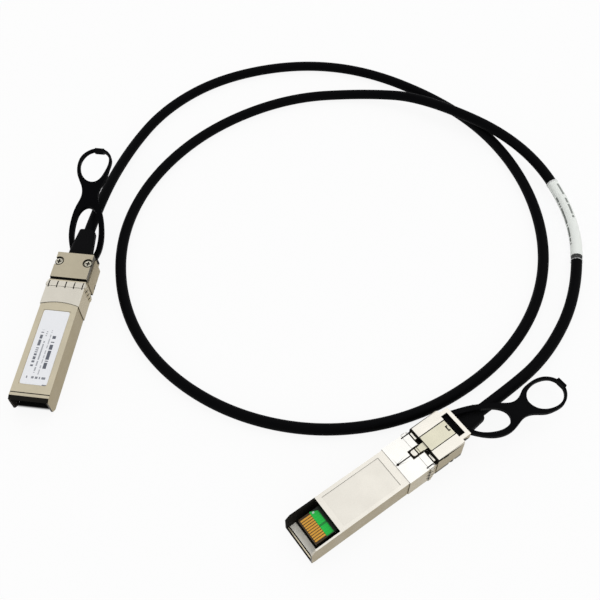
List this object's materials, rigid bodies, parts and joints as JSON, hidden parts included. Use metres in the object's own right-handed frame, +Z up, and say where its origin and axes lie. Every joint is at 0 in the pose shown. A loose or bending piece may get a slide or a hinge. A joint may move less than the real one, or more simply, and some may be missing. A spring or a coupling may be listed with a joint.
{
  "type": "direct attach copper cable",
  "caption": "Coiled direct attach cable: a round black twinax cord joined for good to latching metal plugs with black pull tabs.",
  "frame": {"origin": "middle of the plugs' common box, at floor level, cable left out", "axes": "+Z up, +X from plug a at the left towards the cable label at the right, +Y away from the viewer of the picture"},
  "size_m": [0.2012, 0.2214, 0.0199],
  "materials": {
    "plated_zinc": "satin nickel plating on die-cast zinc",
    "spring_sheet": "thin rolled stainless spring sheet",
    "green_board": "green solder mask",
    "gold_contact": "gold-plated contact",
    "chip_black": "moulded black package",
    "capacitor_tan": "sintered ceramic",
    "core_white": "extruded white insulation",
    "ferrule_metal": "turned crimp ring",
    "boot_black": "moulded black, satin",
    "jacket_black": "extruded black, satin",
    "tab_black": "moulded black, satin",
    "screw_steel": "plated steel",
    "label_white": "white film",
    "clear_sleeve": "clear shrink sleeve"
  },
  "bodies": {
    "cable_and_plugs": {"lower_shell_a": "plated_zinc", "upper_shell_a": "plated_zinc", "emi_collar_a": "spring_sheet", "paddle_card_a": "green_board", "contact_pads_a": "gold_contact", "memory_chip_a": "chip_black", "capacitors_a": "capacitor_tan", "core_wires_a": "core_white", "crimp_ferrule_a": "ferrule_metal", "strain_relief_boot_a": "boot_black", "slider_springs_a": "spring_sheet", "cover_screws_a": "screw_steel", "lower_shell_b": "plated_zinc", "upper_shell_b": "plated_zinc", "emi_collar_b": "spring_sheet", "paddle_card_b": "green_board", "contact_pads_b": "gold_contact", "memory_chip_b": "chip_black", "capacitors_b": "capacitor_tan", "core_wires_b": "core_white", "crimp_ferrule_b": "ferrule_metal", "strain_relief_boot_b": "boot_black", "slider_springs_b": "spring_sheet", "cover_screws_b": "screw_steel", "plug_label_a": "label_white", "cable_jacket": "jacket_black", "cable_label": "label_white", "label_sleeve": "clear_sleeve"},
    "slider_a": {"latch_slider_a": "spring_sheet", "pull_tab_a": "tab_black"},
    "slider_b": {"latch_slider_b": "spring_sheet", "pull_tab_b": "tab_black"}
  },
  "joints": [
    {"name": "release_a", "type": "slide", "parent": "cable_and_plugs", "child": "slider_a", "axis": [0.1433, 0.9893, 0.0259], "range_m": [0, 0.002], "stiffness_N_per_m": 600, "deforming": ["slider_springs_a"]},
    {"name": "release_b", "type": "slide", "parent": "cable_and_plugs", "child": "slider_b", "axis": [0.8192, 0.5736, 0], "range_m": [0, 0.002], "stiffness_N_per_m": 600, "deforming": ["slider_springs_b"]}
  ]
}
